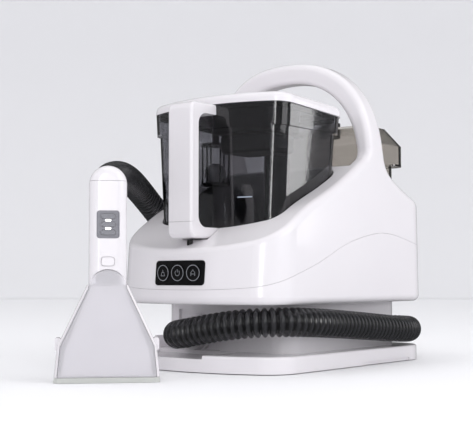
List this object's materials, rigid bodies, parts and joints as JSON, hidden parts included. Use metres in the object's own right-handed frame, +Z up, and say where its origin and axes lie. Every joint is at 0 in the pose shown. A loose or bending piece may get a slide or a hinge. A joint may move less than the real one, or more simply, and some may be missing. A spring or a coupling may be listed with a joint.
{
  "type": "portable carpet and upholstery spot cleaner",
  "caption": "Portable spot cleaner: white body under a carry hoop, smoke dirty-water tank with a front handle, rear clean tank, corrugated hose round the waist and a standing hand nozzle.",
  "frame": {"origin": "on the floor at the middle of the base, on the underside of its centre pad", "axes": "+Z up, -Y towards the front with the control panel, +X to the right of someone behind the machine looking forward along +Y"},
  "size_m": [0.3011, 0.5355, 0.37],
  "materials": {
    "white_abs": "glossy moulded ABS",
    "smoke_tank": "dark smoke transparent plastic",
    "grey_tank": "light smoke transparent plastic",
    "clear_window": "clear polycarbonate",
    "lip_plastic": "translucent soft plastic",
    "panel_black": "black glossy acrylic",
    "button_black": "black glossy plastic with a grey ring",
    "panel_grey": "grey satin plastic",
    "key_grey": "grey satin plastic",
    "led_white": "white light diffuser",
    "hose_black": "black glossy corrugated hose",
    "cuff_black": "black smooth plastic",
    "latch_black": "black plastic",
    "foot_rubber": "matt rubber",
    "seal_rubber": "soft dark rubber",
    "screw_steel": "zinc plated",
    "motor_steel": "pressed steel",
    "inner_grey": "unpainted moulded plastic",
    "board_green": "glass-fibre board",
    "pipe_white": "white moulded plastic",
    "float_white": "white foam float"
  },
  "bodies": {
    "root": {"base_screws": "screw_steel", "base_tray": "white_abs", "control_board": "board_green", "control_panel": "panel_black", "cord_gland": "latch_black", "exhaust_grille": "inner_grey", "fan_housing": "inner_grey", "handle_front_half": "white_abs", "handle_rear_half": "white_abs", "hose_guard": "white_abs", "hose_port": "white_abs", "lower_shell": "white_abs", "motor_can": "motor_steel", "pump_body": "inner_grey", "rubber_feet": "foot_rubber", "suction_duct": "inner_grey", "suction_hose": "hose_black", "tank_deck": "white_abs", "tool_end_cap": "white_abs", "tool_handle_front": "white_abs", "tool_handle_rear": "white_abs", "tool_hose_cuff": "cuff_black", "tool_leds": "led_white", "tool_panel": "panel_grey", "upper_shell": "white_abs", "waist_column": "white_abs"},
    "dirty_tank": {"dirty_tank": "smoke_tank", "tank_handle": "white_abs", "tank_handle_cover": "white_abs", "standpipe": "pipe_white", "float_cage": "pipe_white"},
    "tank_lid": {"tank_lid": "white_abs", "lid_seal": "seal_rubber"},
    "tank_float": {"tank_float": "float_white"},
    "clean_tank": {"clean_tank": "grey_tank", "clean_tank_top": "grey_tank", "valve_seat": "seal_rubber"},
    "clean_tank_cap": {"clean_tank_cap": "cuff_black"},
    "valve_poppet": {"valve_poppet": "inner_grey"},
    "fan": {"fan_impeller": "inner_grey", "motor_shaft": "motor_steel"},
    "pump_plunger": {"pump_plunger": "inner_grey"},
    "button_left": {"button_left": "button_black"},
    "button_power": {"button_power": "button_black"},
    "button_right": {"button_right": "button_black"},
    "tank_latch": {"tank_latch": "latch_black"},
    "nozzle": {"nozzle_shell": "white_abs", "nozzle_window": "clear_window", "nozzle_lip": "lip_plastic", "spray_tip": "inner_grey"},
    "nozzle_latch": {"nozzle_latch": "white_abs"},
    "tool_key_lower": {"tool_key_lower": "key_grey"},
    "tool_key_middle": {"tool_key_middle": "key_grey"},
    "tool_key_upper": {"tool_key_upper": "key_grey"}
  },
  "joints": [
    {"name": "dirty_tank_lift", "type": "slide", "parent": "root", "child": "dirty_tank", "axis": [0, 0, 1], "range_m": [0, 0.15]},
    {"name": "lid_lift", "type": "slide", "parent": "dirty_tank", "child": "tank_lid", "axis": [0, 0.0506, 0.9987], "range_m": [0, 0.03]},
    {"name": "float_rise", "type": "slide", "parent": "dirty_tank", "child": "tank_float", "axis": [0, 0, 1], "range_m": [0, 0.018]},
    {"name": "clean_tank_lift", "type": "slide", "parent": "root", "child": "clean_tank", "axis": [0, 0, 1], "range_m": [0, 0.16]},
    {"name": "clean_cap_turn", "type": "hinge", "parent": "clean_tank", "child": "clean_tank_cap", "pos_m": [0, 0.127, 0.297], "axis": [0, 0, 1], "range_deg": [0, 90]},
    {"name": "valve_open", "type": "slide", "parent": "clean_tank", "child": "valve_poppet", "axis": [0, 0, 1], "range_m": [0, 0.003], "stiffness_N_per_m": 300},
    {"name": "fan_spin", "type": "hinge", "parent": "root", "child": "fan", "pos_m": [0, 0.052, 0.1], "axis": [0, 0, 1], "continuous": true},
    {"name": "pump_stroke", "type": "slide", "parent": "root", "child": "pump_plunger", "axis": [0, 1, 0], "range_m": [0, 0.003], "stiffness_N_per_m": 600},
    {"name": "button_left_press", "type": "slide", "parent": "root", "child": "button_left", "axis": [0, 1, 0], "range_m": [0, 0.0012], "stiffness_N_per_m": 600},
    {"name": "button_power_press", "type": "slide", "parent": "root", "child": "button_power", "axis": [0, 1, 0], "range_m": [0, 0.0012], "stiffness_N_per_m": 600},
    {"name": "button_right_press", "type": "slide", "parent": "root", "child": "button_right", "axis": [0, 1, 0], "range_m": [0, 0.0012], "stiffness_N_per_m": 600},
    {"name": "tank_latch_press", "type": "slide", "parent": "root", "child": "tank_latch", "axis": [0, 0, -1], "range_m": [0, 0.002], "stiffness_N_per_m": 600},
    {"name": "nozzle_release", "type": "slide", "parent": "root", "child": "nozzle", "axis": [0, 0, -1], "range_m": [0, 0.03]},
    {"name": "nozzle_latch_press", "type": "slide", "parent": "root", "child": "nozzle_latch", "axis": [-0.7193, 0.6947, 0], "range_m": [0, 0.0015], "stiffness_N_per_m": 600},
    {"name": "tool_key_lower_press", "type": "slide", "parent": "root", "child": "tool_key_lower", "axis": [-0.7193, 0.6947, 0], "range_m": [0, 0.0008], "stiffness_N_per_m": 600},
    {"name": "tool_key_middle_press", "type": "slide", "parent": "root", "child": "tool_key_middle", "axis": [-0.7193, 0.6947, 0], "range_m": [0, 0.0008], "stiffness_N_per_m": 600},
    {"name": "tool_key_upper_press", "type": "slide", "parent": "root", "child": "tool_key_upper", "axis": [-0.7193, 0.6947, 0], "range_m": [0, 0.0008], "stiffness_N_per_m": 600}
  ]
}
